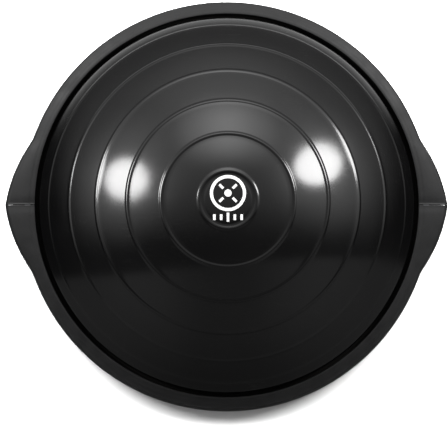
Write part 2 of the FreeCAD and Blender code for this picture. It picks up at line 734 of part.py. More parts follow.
def make_screws(doc, d):
    """The three groups of fasteners."""
    rim_places = ring_places(d["rim_screw_circle"], d["rim_screw_count"],
                             half_step(d["rim_screw_count"]))
    cover_places = ring_places(d["cover_screw_circle"], d["cover_screw_count"], 0.0)
    middle = d["splice_middle"].value
    reaches = (d["splice_screw_near"].value, d["splice_screw_far"].value)
    splice_places = [(x, y * sign) for x in (middle, -middle) for y in reaches for sign in (1, -1)]
    return [
        make_screw_group(doc, "rim_screws", d, rim_places, d["rim_screw_seat"], d["rim_screw_length"]),
        make_screw_group(doc, "cover_screws", d, cover_places, d["cover_screw_seat"],
                         d["cover_screw_length"]),
        make_screw_group(doc, "splice_screws", d, splice_places, d["splice_bottom"],
                         d["splice_screw_length"]),
    ]


def check_document(doc, pieces):
    """Stops on any failed feature and on any piece whose shape is missing or broken."""
    for item in doc.Objects:
        if "Invalid" in item.State or "Error" in item.State:
            raise RuntimeError(f"{item.Label}: {item.State}")
    for piece in pieces:
        if piece.Shape.isNull() or not piece.Shape.isValid():
            raise RuntimeError(f"{piece.Label}: bad shape")


def write_pieces(pieces):
    """Writes each piece to a file that its label names."""
    os.makedirs(OUT_FOLDER, exist_ok=True)
    for piece in pieces:
        piece.Shape.exportStep(os.path.join(OUT_FOLDER, piece.Label + ".step"))
        box = piece.Shape.BoundBox
        print(f"{piece.Label}: {len(piece.Shape.Solids)} solid(s), {piece.Shape.Volume / 1000:.1f} cm3, "
              f"z {box.ZMin:.2f} to {box.ZMax:.2f}")


def main():
    doc = FreeCAD.newDocument("balance_dome_trainer")
    sizes = make_sheet(doc)
    pieces = [
        make_deck_frame(doc, sizes),
        make_deck_cover(doc, sizes),
        make_rim_half(doc, sizes, "rear_rim_half", 0.0),
        make_rim_half(doc, sizes, "front_rim_half", 180.0),
        make_splice_plate(doc, sizes, "right_splice_plate", 0.0),
        make_splice_plate(doc, sizes, "left_splice_plate", 180.0),
        make_bladder_floor(doc, sizes),
        make_dome_skin(doc, sizes),
        make_valve_socket(doc, sizes),
        make_valve_plug(doc, sizes),
    ]
    pieces += [make_foot(doc, sizes, index) for index in range(int(sizes["foot_count"].value))]
    pieces += make_screws(doc, sizes)
    doc.recompute()
    check_document(doc, pieces)
    write_pieces(pieces)


main()
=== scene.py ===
"""Looks of a balance dome trainer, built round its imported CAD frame.

The trainer lies flat on its feet, dome up, with a handle towards +X and another towards -X.
Everything is in metres in the frame's own axes. Each sub-assembly is a class that builds its
meshes and dresses them; each finish is a small class that builds one material.
"""

import logging
import math
from dataclasses import dataclass, field
from enum import Enum
from functools import cache
from typing import Optional, Sequence

import bmesh
import bpy
from mathutils import Matrix, Vector


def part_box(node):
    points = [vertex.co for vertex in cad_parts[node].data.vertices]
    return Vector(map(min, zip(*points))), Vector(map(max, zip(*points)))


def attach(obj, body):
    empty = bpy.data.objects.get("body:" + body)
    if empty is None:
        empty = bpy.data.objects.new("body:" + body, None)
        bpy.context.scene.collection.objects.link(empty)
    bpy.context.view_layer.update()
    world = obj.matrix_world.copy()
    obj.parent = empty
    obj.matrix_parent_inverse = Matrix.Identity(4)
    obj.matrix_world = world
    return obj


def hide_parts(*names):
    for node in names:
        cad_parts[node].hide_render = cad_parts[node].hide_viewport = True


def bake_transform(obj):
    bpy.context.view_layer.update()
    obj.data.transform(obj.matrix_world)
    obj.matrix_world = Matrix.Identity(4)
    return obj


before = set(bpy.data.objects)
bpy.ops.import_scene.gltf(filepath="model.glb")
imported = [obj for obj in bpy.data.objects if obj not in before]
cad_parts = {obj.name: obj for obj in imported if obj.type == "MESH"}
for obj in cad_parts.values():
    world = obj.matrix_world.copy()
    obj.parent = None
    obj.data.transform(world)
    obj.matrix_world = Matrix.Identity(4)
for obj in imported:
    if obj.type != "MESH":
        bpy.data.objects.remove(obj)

LOG = logging.getLogger("balance_dome_trainer")
MM = 0.001
Point2 = tuple[float, float]
Colour = tuple[float, float, float]
Mesh = bmesh.types.BMesh
Node = bpy.types.Node
Socket = bpy.types.NodeSocket
Sockets = Sequence[Socket]
Group = bpy.types.NodeTree
Material = bpy.types.Material
Piece = bpy.types.Object


class Side(Enum):
    """Which half of the rim, as the sign of its Y direction."""

    REAR = 1
    FRONT = -1


class Place(Enum):
    """Which handle, as the sign of its X direction."""

    RIGHT = 1
    LEFT = -1


# ---- Shader groups ----


@dataclass
class Wiring:
    """A short way to add nodes to one node tree and join them."""

    tree: Group

    def add(self, kind: str, **settings: object) -> Node:
        """Adds a node and sets its properties.

        Args:
            kind: The node's type name.
            **settings: Property values.

        Returns:
            The new node.
        """
        node = self.tree.nodes.new(kind)
        for key, value in settings.items():
            setattr(node, key, value)
        return node

    def find(self, kind: str) -> Node:
        """The tree's first node of a kind, such as its output."""
        return next(n for n in self.tree.nodes if n.type == kind)

    def feed(self, socket: Socket, value: object) -> None:
        """Joins an output socket to an input socket, or sets the input to a plain value."""
        if isinstance(value, Socket):
            self.tree.links.new(value, socket)
        else:
            socket.default_value = value

    def math(self, operation: str, first: object, second: object = 0.0, clamp: bool = False) -> Socket:
        """Adds a Math node.

        Args:
            operation: The operation's name.
            first: First number or socket.
            second: Second number or socket.
            clamp: Whether the result is kept between 0 and 1.

        Returns:
            The result's socket.
        """
        node = self.add("ShaderNodeMath", operation=operation, use_clamp=clamp)
        self.feed(node.inputs[0], first)
        self.feed(node.inputs[1], second)
        return node.outputs[0]

    def plus(self, first: object, second: object, clamp: bool = False) -> Socket:
        """The sum of two numbers or sockets."""
        return self.math("ADD", first, second, clamp)

    def less(self, first: object, second: object, clamp: bool = False) -> Socket:
        """The first number or socket less the second."""
        return self.math("SUBTRACT", first, second, clamp)

    def times(self, first: object, second: object, clamp: bool = False) -> Socket:
        """The product of two numbers or sockets."""
        return self.math("MULTIPLY", first, second, clamp)

    def remap(self, value: object, low: float, high: float, new_low: float, new_high: float) -> Socket:
        """Maps one range of numbers smoothly to another, and clamps it."""
        node = self.add("ShaderNodeMapRange", interpolation_type="SMOOTHSTEP")
        for socket, number in zip(node.inputs, (value, low, high, new_low, new_high)):
            self.feed(socket, number)
        return node.outputs[0]

    def noise(self, scale: object, detail: float, vector: Socket, roughness: float = 0.5) -> Socket:
        """Adds a noise texture and returns its value socket."""
        node = self.add("ShaderNodeTexNoise")
        for label, value in (("Scale", scale), ("Detail", detail), ("Roughness", roughness), ("Vector", vector)):
            self.feed(node.inputs[label], value)
        return node.outputs[0]

    def place(self, scale: Sequence[float] = (1.0, 1.0, 1.0), turn: float = 0.0) -> Socket:
        """Object coordinates, stretched and turned.

        Args:
            scale: Scale along each axis.
            turn: Rotation about the upright axis, in radians.

        Returns:
            The vector socket.
        """
        mapping = self.add("ShaderNodeMapping")
        mapping.inputs["Scale"].default_value = scale
        mapping.inputs["Rotation"].default_value = (0.0, 0.0, turn)
        self.feed(mapping.inputs["Vector"], self.add("ShaderNodeTexCoord").outputs["Object"])
        return mapping.outputs[0]

    def split(self, vector: Socket) -> Sockets:
        """The three parts of a vector."""
        node = self.add("ShaderNodeSeparateXYZ")
        self.feed(node.inputs[0], vector)
        return node.outputs

    def mix(self, share: object, first: object, second: object) -> Socket:
        """Mixes two colours by a share from 0 to 1. A plain colour may leave out its alpha."""
        node = self.add("ShaderNodeMix", data_type="RGBA")
        self.feed(node.inputs[0], share)
        for socket, colour in ((node.inputs[6], first), (node.inputs[7], second)):
            self.feed(socket, colour if isinstance(colour, Socket) else (*colour, 1.0))
        return node.outputs[2]

    def shared(self, group: Group, **values: float) -> Sockets:
        """Places a shared shader group.

        Args:
            group: The group.
            **values: Input values; an underscore in a name stands for a space.

        Returns:
            The group's outputs.
        """
        node = self.add("ShaderNodeGroup", node_tree=group)
        for key, value in values.items():
            node.inputs[key.replace("_", " ")].default_value = value
        return node.outputs


def new_group(name: str, inputs: dict[str, float], outputs: Sequence[str]) -> tuple[Wiring, Sockets, Sockets]:
    """Makes an empty shader group with float sockets.

    Args:
        name: The group's name.
        inputs: Each input's name and default value.
        outputs: Name of each output.

    Returns:
        The group's wiring, the sockets that bring its inputs, and the sockets that take its outputs.
    """
    group = bpy.data.node_groups.new(name, "ShaderNodeTree")
    for label, default in inputs.items():
        socket = group.interface.new_socket(name=label, in_out="INPUT", socket_type="NodeSocketFloat")
        socket.default_value = default
    for label in outputs:
        group.interface.new_socket(name=label, in_out="OUTPUT", socket_type="NodeSocketFloat")
    return Wiring(group), group.nodes.new("NodeGroupInput").outputs, group.nodes.new("NodeGroupOutput").inputs


class ShaderGroups:
    """The effects that several finishes share, each built once."""

    @staticmethod
    @cache
    def grain() -> Group:
        """Fine moulded grain: a height, a tone that follows it, and broad blotches."""
        scales = {"Grain Scale": 900.0, "Blotch Scale": 40.0}
        net, given, out = new_group("moulded_grain", scales, ("Height", "Tone", "Blotch"))
        place = net.place()
        fine = net.noise(given["Grain Scale"], 3.0, place)
        cells = net.add("ShaderNodeTexVoronoi", feature="SMOOTH_F1")
        net.feed(cells.inputs["Vector"], place)
        net.feed(cells.inputs["Scale"], given["Grain Scale"])
        pebble = net.less(1.0, cells.outputs["Distance"])
        blotch = net.noise(given["Blotch Scale"], 3.0, place)
        net.feed(out["Height"], net.plus(net.times(fine, 0.55), net.times(pebble, 0.45)))
        net.feed(out["Tone"], net.remap(fine, 0.3, 0.7, 0.0, 1.0))
        net.feed(out["Blotch"], net.remap(blotch, 0.35, 0.65, 0.0, 1.0))
        return net.tree

    @staticmethod
    @cache
    def edge_wear() -> Group:
        """A mask of rubbed convex edges, broken up by noise."""
        net, given, out = new_group("edge_wear", {"Reach": 0.06, "Break Up": 60.0}, ("Wear",))
        convex = net.less(net.add("ShaderNodeNewGeometry").outputs["Pointiness"], 0.5)
        sharp = net.math("DIVIDE", convex, given["Reach"], clamp=True)
        broken = net.remap(net.noise(given["Break Up"], 4.0, net.place()), 0.4, 0.65, 0.15, 1.0)
        net.feed(out["Wear"], net.times(sharp, broken, clamp=True))
        return net.tree

    @staticmethod
    @cache
    def dust() -> Group:
        """A mask of dust that settles on faces that look up and in hollow corners."""
        net, given, out = new_group("settled_dust", {"Upward Share": 0.2, "Hollow Share": 1.0}, ("Dust",))
        geometry = net.add("ShaderNodeNewGeometry").outputs
        upward = net.remap(net.split(geometry["Normal"])["Z"], 0.3, 1.0, 0.0, 1.0)
        hollow = net.remap(geometry["Pointiness"], 0.5, 0.44, 0.0, 1.0)
        place = net.place()
        specks = net.remap(net.noise(420.0, 2.0, place), 0.56, 0.74, 0.0, 1.0)
        cloud = net.remap(net.noise(9.0, 4.0, place), 0.4, 0.7, 0.0, 1.0)
        top = net.times(net.times(net.times(upward, specks), cloud), given["Upward Share"])
        corner = net.times(hollow, given["Hollow Share"])
        net.feed(out["Dust"], net.plus(top, corner, clamp=True))
        return net.tree

    @staticmethod
    @cache
    def handling() -> Group:
        """Smears and hairline scuffs left by hands, shoes and storage."""
        scales = {"Smear Scale": 7.0, "Scuff Scale": 30.0}
        net, given, out = new_group("handling_marks", scales, ("Smear", "Scuff"))
        smear = net.noise(given["Smear Scale"], 5.0, net.place((1.0, 1.6, 1.0), 0.5), 0.62)
        net.feed(out["Smear"], net.remap(smear, 0.42, 0.68, 0.0, 1.0))
        scuffs: object = 0.0
        for turn in (0.4, 1.5, 2.6):
            lines = net.noise(given["Scuff Scale"], 1.0, net.place((0.5, 26.0, 0.5), turn))
            thin = net.remap(net.math("ABSOLUTE", net.less(lines, 0.5)), 0.0, 0.006, 1.0, 0.0)
            patch = net.remap(net.noise(12.0 + turn, 2.0, net.place()), 0.56, 0.66, 0.0, 1.0)
            scuffs = net.math("MAXIMUM", scuffs, net.times(thin, patch))
        net.feed(out["Scuff"], scuffs)
        return net.tree


# ---- Finishes ----


def scaled(colour: Colour, *factors: float) -> Colour:
    """A colour times one factor, or times a factor for each part."""
    return tuple(c * f for c, f in zip(colour, factors * 3 if len(factors) == 1 else factors))


@dataclass(frozen=True)
class Finish:
    """What every finish has: a name, a slot of the record, and a Principled shader to build on."""

    name: str
    slot: str

    def build(self) -> Material:
        """Builds the material: a bare Principled shader, which each finish then completes."""
        material = bpy.data.materials.new(self.name)
        material.use_nodes = True
        net = Wiring(material.node_tree)
        self.complete(net, net.find("BSDF_PRINCIPLED").inputs)
        return material

    def complete(self, net: Wiring, shader: Sockets) -> None:
        """Wires up the shader's inputs. Each finish has its own way.

        Args:
            net: The material's wiring.
            shader: The Principled shader's inputs.
        """
        raise NotImplementedError

    @staticmethod
    def relief(net: Wiring, shader: Sockets, height: Socket, strength: float, depth: float) -> None:
        """Gives the surface a relief.

        Args:
            net: The material's wiring.
            shader: The Principled shader's inputs.
            height: The relief's height.
            strength: How strongly it shows.
            depth: Its depth in metres.
        """
        bump = net.add("ShaderNodeBump")
        for label, value in (("Strength", strength), ("Distance", depth), ("Height", height)):
            net.feed(bump.inputs[label], value)
        net.feed(shader["Normal"], bump.outputs[0])


@dataclass(frozen=True)
class MouldedVinyl(Finish):
    """Glossy or satin vinyl: orange peel, smears, hairline scuffs, and dust in the creases.

    Below a set height the sheen is switched off and the surface turns matte black: painted shade on the dome's wall
    down in the gap inside the rim.
    """

    colour: Colour = (0.0007, 0.0007, 0.0008)
    gloss: float = 0.15
    peel: float = 0.02
    wave: float = 0.25
    gap_shade_below: float = 0.050

    def complete(self, net: Wiring, shader: Sockets) -> None:
        """Wires up the vinyl."""
        marks = net.shared(ShaderGroups.handling(), Smear_Scale=6.0, Scuff_Scale=26.0)
        dust = net.shared(ShaderGroups.dust(), Upward_Share=0.05, Hollow_Share=0.10)["Dust"]
        place = net.place()
        cloud = net.remap(net.noise(14.0, 4.0, place), 0.35, 0.7, 0.0, 1.0)
        colour = net.mix(cloud, self.colour, scaled(self.colour, 1.5, 1.4, 1.32))
        colour = net.mix(net.times(marks["Scuff"], 0.08), colour, (0.055, 0.054, 0.052))
        net.feed(shader["Base Color"], net.mix(net.times(dust, 0.5), colour, (0.16, 0.155, 0.145)))
        rough = net.plus(self.gloss, net.times(marks["Smear"], 0.05))
        rough = net.plus(rough, net.times(dust, 0.3))
        rough = net.plus(rough, net.times(marks["Scuff"], 0.12), clamp=True)
        # Painted shade: below this height the vinyl loses its reflection and roughens, so the gap between dome and rim
        # renders black.
        level = net.split(net.add("ShaderNodeTexCoord").outputs["Object"])["Z"]
        dull = net.remap(level, self.gap_shade_below - 0.003, self.gap_shade_below, 1.0, 0.0)
        net.feed(shader["IOR"], 1.5)
        net.feed(shader["Specular IOR Level"], net.remap(dull, 0.0, 1.0, 0.5, 0.0))
        net.feed(shader["Roughness"], net.math("MAXIMUM", rough, net.times(dull, 0.85)))
        peel = net.times(net.noise(520.0, 2.0, place), self.peel)
        height = net.plus(peel, net.times(net.noise(11.0, 2.0, place), self.wave))
        height = net.less(height, net.times(marks["Scuff"], 0.004))
        self.relief(net, shader, height, 0.35, 0.0012)


@dataclass(frozen=True)
class MouldedPlastic(Finish):
    """Matte moulded plastic: pebble grain, blotchy sheen, pale rubbed edges and a little dust."""

    colour: Colour = (0.0095, 0.0095, 0.0098)
    matte: float = 0.5
    grain_scale: float = 700.0
    grain_depth: float = 0.00025
    shine: float = 0.3
    wear_colour: Colour = (0.07, 0.07, 0.07)

    def complete(self, net: Wiring, shader: Sockets) -> None:
        """Wires up the plastic."""
        grain = net.shared(ShaderGroups.grain(), Grain_Scale=self.grain_scale, Blotch_Scale=55.0)
        wear = net.shared(ShaderGroups.edge_wear(), Reach=0.12, Break_Up=45.0)["Wear"]
        dust = net.shared(ShaderGroups.dust(), Upward_Share=0.12, Hollow_Share=0.5)["Dust"]
        marks = net.shared(ShaderGroups.handling(), Smear_Scale=12.0, Scuff_Scale=34.0)
        tone = net.plus(net.times(grain["Tone"], 0.5), net.times(grain["Blotch"], 0.5))
        colour = net.mix(tone, scaled(self.colour, 0.75), scaled(self.colour, 1.25))
        colour = net.mix(net.times(wear, 0.3), colour, self.wear_colour)
        colour = net.mix(net.times(marks["Scuff"], 0.25), colour, self.wear_colour)
        net.feed(shader["Base Color"], net.mix(net.times(dust, 0.3), colour, (0.14, 0.136, 0.128)))
        rough = net.plus(self.matte - 0.05, net.times(grain["Blotch"], 0.08))
        rough = net.plus(rough, net.times(marks["Smear"], 0.05))
        net.feed(shader["Roughness"], net.less(rough, net.times(wear, 0.12), clamp=True))
        net.feed(shader["IOR"], 1.49)
        net.feed(shader["Specular IOR Level"], self.shine)
        self.relief(net, shader, grain["Height"], 0.6, self.grain_depth)


@dataclass(frozen=True)
class GripRubber(Finish):
    """Dull black rubber with a powdery bloom."""

    colour: Colour = (0.018, 0.018, 0.018)

    def complete(self, net: Wiring, shader: Sockets) -> None:
        """Wires up the rubber."""
        grain = net.shared(ShaderGroups.grain(), Grain_Scale=1300.0, Blotch_Scale=90.0)
        dust = net.shared(ShaderGroups.dust(), Upward_Share=0.2, Hollow_Share=0.6)["Dust"]
        colour = net.mix(grain["Blotch"], self.colour, scaled(self.colour, 2.2))
        net.feed(shader["Base Color"], net.mix(net.times(dust, 0.4), colour, (0.15, 0.14, 0.13)))
        net.feed(shader["Roughness"], net.remap(grain["Tone"], 0.0, 1.0, 0.68, 0.82))
        self.relief(net, shader, grain["Height"], 0.5, 0.0002)


@dataclass(frozen=True)
class ZincPlate(Finish):
    """Zinc-plated steel: faint spangle, brushed direction and dull rubbed spots."""

    colour: Colour = (0.55, 0.56, 0.58)

    def complete(self, net: Wiring, shader: Sockets) -> None:
        """Wires up the zinc."""
        grain = net.shared(ShaderGroups.grain(), Grain_Scale=500.0, Blotch_Scale=160.0)
        net.feed(shader["Base Color"], net.mix(grain["Blotch"], self.colour, scaled(self.colour, 0.62)))
        net.feed(shader["Metallic"], 1.0)
        brushed = net.noise(40.0, 3.0, net.place((1.0, 40.0, 1.0)))
        net.feed(shader["Roughness"], net.remap(brushed, 0.3, 0.7, 0.28, 0.46))
        self.relief(net, shader, brushed, 0.3, 0.0001)


@dataclass(frozen=True)
class PrintedInk(Finish):
    """White pad-printed ink: nearly opaque, slightly uneven, rubbed a little grey."""

    colour: Colour = (0.86, 0.86, 0.85)

    def complete(self, net: Wiring, shader: Sockets) -> None:
        """Wires up the ink."""
        grain = net.shared(ShaderGroups.grain(), Grain_Scale=1800.0, Blotch_Scale=140.0)
        net.feed(shader["Base Color"], net.mix(grain["Blotch"], self.colour, scaled(self.colour, 0.82)))
        net.feed(shader["Roughness"], net.remap(grain["Tone"], 0.0, 1.0, 0.35, 0.5))
        self.relief(net, shader, grain["Height"], 0.3, 0.00005)


DOME_VINYL = MouldedVinyl("glossy_dome_vinyl", "dome_vinyl")
FLOOR_VINYL = MouldedVinyl("satin_bladder_vinyl", "bladder_vinyl", (0.02, 0.02, 0.022), 0.42, 0.3, 0.2, 0.0)
RIM_PLASTIC = MouldedPlastic("grained_rim_plastic", "rim_plastic")
DECK_PLASTIC = MouldedPlastic("deck_plastic", "deck_plastic", (0.016, 0.016, 0.0165), 0.58, 500.0, 0.0003)
FOOT_RUBBER = GripRubber("foot_rubber", "foot_rubber")
VALVE_RUBBER = GripRubber("valve_rubber", "foot_rubber", (0.014, 0.014, 0.015))
ZINC = ZincPlate("zinc_plate", "zinc_steel")
PLUG_PLASTIC = MouldedPlastic(
    "plug_plastic", "plug_plastic", (0.42, 0.42, 0.4), 0.42, 1200.0, 0.0001, 0.5, (0.5, 0.5, 0.48)
)
BADGE_INK = PrintedInk("badge_ink", "dome_vinyl")


@cache
def material_of(finish: Finish) -> Material:
    """The material of a finish, built the first time it is asked for."""
    return finish.build()



# ---- Mesh tools ----


def mesh_object(name: str, bm: Mesh, material: Material, smooth_angle: float = 35.0) -> Piece:
    """Turns a bmesh into an object in the scene.

    Args:
        name: The object's name.
        bm: The mesh; it is freed.
        material: Its material.
        smooth_angle: Edges sharper than this, in degrees, stay sharp.

    Returns:
        The new object.
    """
    bmesh.ops.recalc_face_normals(bm, faces=bm.faces)
    limit = math.radians(smooth_angle)
    for face in bm.faces:
        face.smooth = True
    for edge in bm.edges:
        edge.smooth = not (edge.is_manifold and edge.calc_face_angle(0.0) > limit)
    mesh = bpy.data.meshes.new(name)
    bm.to_mesh(mesh)
    bm.free()
    mesh.materials.append(material)
    obj = bpy.data.objects.new(name, mesh)
    bpy.context.scene.collection.objects.link(obj)
    return obj


def piece_of(name: str, bm: Mesh, finish: Finish, node: str = "", body: str = "", smooth_angle: float = 35.0) -> Piece:
    """Turns a bmesh into a piece of the trainer.

    Args:
        name: The piece's name.
        bm: The mesh; it is freed.
        finish: Its finish.
        node: The CAD node that it replaces, if any.
        body: The body that it rides on, if it isn't blended.
        smooth_angle: Edges sharper than this, in degrees, stay sharp.

    Returns:
        The piece.
    """
    piece = mesh_object(name, bm, material_of(finish), smooth_angle)
    if node:
        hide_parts(node)
    if body:
        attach(piece, body)
    return piece


def skin(bm: Mesh, rows: Sequence[Sequence[bmesh.types.BMVert]], closed: bool = False) -> None:
    """Joins rows of points, each a closed loop, into a tube.

    Args:
        bm: The mesh to add to.
        rows: The rows; each has the same number of points.
        closed: Whether the tube joins its own start. If not, both ends get a face.
    """
    count = len(rows[0])
    following = [*rows[1:], rows[0]] if closed else rows[1:]
    for low, high in zip(rows, following):
        for i in range(count):
            j = (i + 1) % count
            bm.faces.new([low[i], low[j], high[j], high[i]])
    if not closed:
        bm.faces.new(rows[0])
        bm.faces.new(list(reversed(rows[-1])))


def lathe(bm: Mesh, outline: Sequence[Point2], segments: int, centre: Point2 = (0.0, 0.0)) -> None:
    """Turns a closed outline of (radius, height) points about a vertical axis.

    Args:
        bm: The mesh to add to.
        outline: The section; points on the axis have radius 0, and the outline closes itself.
        segments: Number of steps round the axis.
        centre: The axis's place.
    """
    on_axis = 1e-7
    rings = []
    for radius, height in outline:
        ring = []
        for step in range(1 if radius < on_axis else segments):
            turn = 2 * math.pi * step / segments
            spot = (centre[0] + radius * math.cos(turn), centre[1] + radius * math.sin(turn), height)
            ring.append(bm.verts.new(spot))
        rings.append(ring)
    for index, ring in enumerate(rings):
        following = rings[(index + 1) % len(rings)]
        if len(ring) == 1 and len(following) == 1:
            continue
        for step in range(segments):
            after = (step + 1) % segments
            corners = [ring[step % len(ring)], ring[after % len(ring)]]
            corners += [following[after % len(following)], following[step % len(following)]]
            bm.faces.new(list(dict.fromkeys(corners)))


def fillet_points(before: Point2, corner: Point2, after: Point2, radius: float, steps: int = 4) -> list[Point2]:
    """Rounds one corner of an outline.

    Args:
        before: The corner before it.
        corner: The corner to round.
        after: The corner after it.
        radius: The rounding's radius.
        steps: Number of segments of the rounding.

    Returns:
        The points that take the corner's place.
    """
    here = Vector(corner)
    back = (Vector(before) - here).normalized()
    ahead = (Vector(after) - here).normalized()
    half = back.angle(ahead) / 2
    reach = radius / math.tan(half)
    middle = here + (back + ahead).normalized() * (radius / math.sin(half))
    start = here + back * reach - middle
    finish = here + ahead * reach - middle
    turn = start.angle_signed(finish)
    points = []
    for step in range(steps + 1):
        angle = -turn * step / steps
        cosine, sine = math.cos(angle), math.sin(angle)
        points.append((middle.x + start.x * cosine - start.y * sine, middle.y + start.x * sine + start.y * cosine))
    return points


def rounded(outline: Sequence[tuple[float, float, float]], steps: int = 4) -> list[Point2]:
    """Rounds an outline of (x, y, radius) corners; radius 0 keeps a corner sharp."""
    points: list[Point2] = []
    count = len(outline)
    for index, (x, y, radius) in enumerate(outline):
        if radius <= 0.0:
            points.append((x, y))
            continue
        before = outline[index - 1][:2]
        after = outline[(index + 1) % count][:2]
        points += fillet_points(before, (x, y), after, radius, steps)
    return points


def ring_points(centre: Point2, radius: float, start: float, finish: float, steps: int, first: int = 0) -> list[Point2]:
    """Points along an arc.

    Args:
        centre: The arc's centre.
        radius: Its radius.
        start: Angle of its start.
        finish: Angle of its end.
        steps: Number of segments.
        first: The step that the points begin with; 1 leaves out the arc's start.

    Returns:
        The points.
    """
    turns = (start + (finish - start) * step / steps for step in range(first, steps + 1))
    return [(centre[0] + radius * math.cos(turn), centre[1] + radius * math.sin(turn)) for turn in turns]


# ---- Sub-assemblies ----


@dataclass
class Dome:
    """The air-filled dome: a sphere with raised rings, a shoulder that tucks into the rim, and a badge."""

    sphere_radius: float = 0.325
    wall_radius: float = 0.2955
    shoulder_radius: float = 0.050
    thickness: float = 0.0035
    badge_ring: float = 7.7
    ring_angles: tuple[float, ...] = (18.0, 27.9, 38.0, 48.4, 58.8)
    badge_rise: float = 0.0009
    ring_rises: tuple[float, ...] = (0.0012, 0.0011, 0.0009, 0.0008, 0.0007)
    groove: float = 6.55
    groove_depth: float = 0.0004
    groove_width: float = 0.42
    ring_half_width: float = 0.0042
    bead_radius: float = 0.003
    bead_circle: float = 0.306
    flange_half: float = 0.002
    ink_thickness: float = 0.00012
    segments: int = 320
    top: float = field(init=False)
    bead_height: float = field(init=False)
    sphere_centre: float = field(init=False)

    def __post_init__(self) -> None:
        """Reads the heights from the frame."""
        low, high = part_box("dome_skin")
        self.top = high.z
        self.bead_height = low.z + self.bead_radius
        self.sphere_centre = self.top - self.sphere_radius

    def rise(self, angle: float) -> float:
        """How far the surface stands over the sphere.

        Args:
            angle: Angle from the dome's axis, in degrees.

        Returns:
            The rise in metres.
        """
        total = -self.groove_depth * math.exp(-(((angle - self.groove) / self.groove_width) ** 2))
        for ring, rise in zip((self.badge_ring, *self.ring_angles), (self.badge_rise, *self.ring_rises)):
            distance = math.radians(abs(angle - ring)) * self.sphere_radius / self.ring_half_width
            if distance < 1.0:
                total += rise * (0.5 + 0.5 * math.cos(math.pi * distance)) ** 0.8
        return total

    def outer_line(self) -> list[Point2]:
        """The outer surface from the top down to the clamped flange."""
        blend_x = self.wall_radius - self.shoulder_radius
        blend_angle = math.asin(blend_x / (self.sphere_radius - self.shoulder_radius))
        last = math.degrees(blend_angle)
        width = math.degrees(self.ring_half_width / self.sphere_radius)
        pitch = 1.25
        angles = {last, *(i * pitch for i in range(int(last / pitch) + 1))}
        for ring in (self.badge_ring, *self.ring_angles):
            angles.update(ring + width * k / 8.0 for k in range(-8, 9))
        angles.update(self.groove + 1.1 * k / 6.0 for k in range(-6, 7))
        line: list[Point2] = []
        for angle in sorted(a for a in angles if a <= last):
            reach = self.sphere_radius + self.rise(angle)
            turn = math.radians(angle)
            line.append((reach * math.sin(turn), self.sphere_centre + reach * math.cos(turn)))
        centre_z = self.sphere_centre + (self.sphere_radius - self.shoulder_radius) * math.cos(blend_angle)
        line += ring_points((blend_x, centre_z), self.shoulder_radius, math.pi / 2 - blend_angle, 0.0, 20, 1)
        return line

    def section(self) -> list[Point2]:
        """The whole closed section of the dome's wall, flange and bead."""
        line = self.outer_line()
        line[0] = (0.0, line[0][1])
        flange_top = self.bead_height + self.flange_half
        reach = math.sqrt(self.bead_radius**2 - self.flange_half**2)
        for out, up in ((0.0, 0.002), (0.0006, 0.0006), (0.002, 0.0)):
            line.append((self.wall_radius + out, flange_top + up))
        start = math.atan2(self.flange_half, -reach)
        line += ring_points((self.bead_circle, self.bead_height), self.bead_radius, start, -start, 14)
        inner_wall = self.wall_radius - self.thickness
        line.append((inner_wall, self.bead_height - self.flange_half))
        inner = self.sphere_radius - self.thickness
        edge = math.acos(inner_wall / inner)
        line += ring_points((0.0, self.sphere_centre), inner, edge, math.pi / 2, 24)
        line[-1] = (0.0, line[-1][1])
        return line

    def surface_height(self, x: float, y: float) -> float:
        """Height of the plain sphere over a point in plan."""
        return self.sphere_centre + math.sqrt(self.sphere_radius**2 - x * x - y * y)

    def build(self) -> list[Piece]:
        """Builds the dome and its badge.

        Returns:
            The pieces.
        """
        bm = bmesh.new()
        lathe(bm, self.section(), self.segments)
        shell = piece_of("dome_shell", bm, DOME_VINYL, node="dome_skin", smooth_angle=50.0)
        badge = self.build_badge()
        for piece in (shell, badge):
            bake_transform(piece)
        return [shell, badge]

    def build_badge(self) -> Piece:
        """Builds the printed badge: a plain target over a row of level marks.

        Returns:
            The badge piece.
        """
        bm = bmesh.new()
        target_y = 0.0095
        bar_width = 0.0038
        self.print_ring(bm, target_y, 0.0224, 0.0270)
        self.print_ring(bm, target_y, 0.0, 0.0054)
        for quarter in range(4):
            angle = math.pi / 4 + quarter * math.pi / 2
            self.print_bar(bm, (0.0, target_y), angle, 0.0100, 0.0182, bar_width)
        marks_y = -0.0265
        marks_pitch = 0.0102
        for place, half in zip(range(-2, 3), (0.0042, 0.0042, 0.0068, 0.0042, 0.0042)):
            self.print_bar(bm, (place * marks_pitch, marks_y), math.pi / 2, -half, half, bar_width)
        return piece_of("badge_print", bm, BADGE_INK)

    def print_film(self, bm: Mesh, rows: Sequence[Sequence[Point2]], closed: bool) -> None:
        """Lays a thin closed film of ink over the sphere.

        Args:
            bm: The mesh to add to.
            rows: Rows of plan points across the film.
            closed: Whether the last row joins the first.
        """
        lift = self.ink_thickness
        loops = []
        for row in rows:
            over = [(x, y, self.surface_height(x, y) + lift) for x, y in row]
            under = [(x, y, z - 2 * lift) for x, y, z in reversed(over)]
            loops.append([bm.verts.new(spot) for spot in over + under])
        skin(bm, loops, closed)

    def print_ring(self, bm: Mesh, centre_y: float, inner: float, outer: float) -> None:
        """Prints a ring, or a dot when the inner radius is 0."""
        inner = max(inner, 0.0002)
        radii = (inner, (inner + outer) / 2, outer)
        rings = [ring_points((0.0, centre_y), radius, 0.0, 2 * math.pi, 96)[:-1] for radius in radii]
        self.print_film(bm, list(zip(*rings)), True)

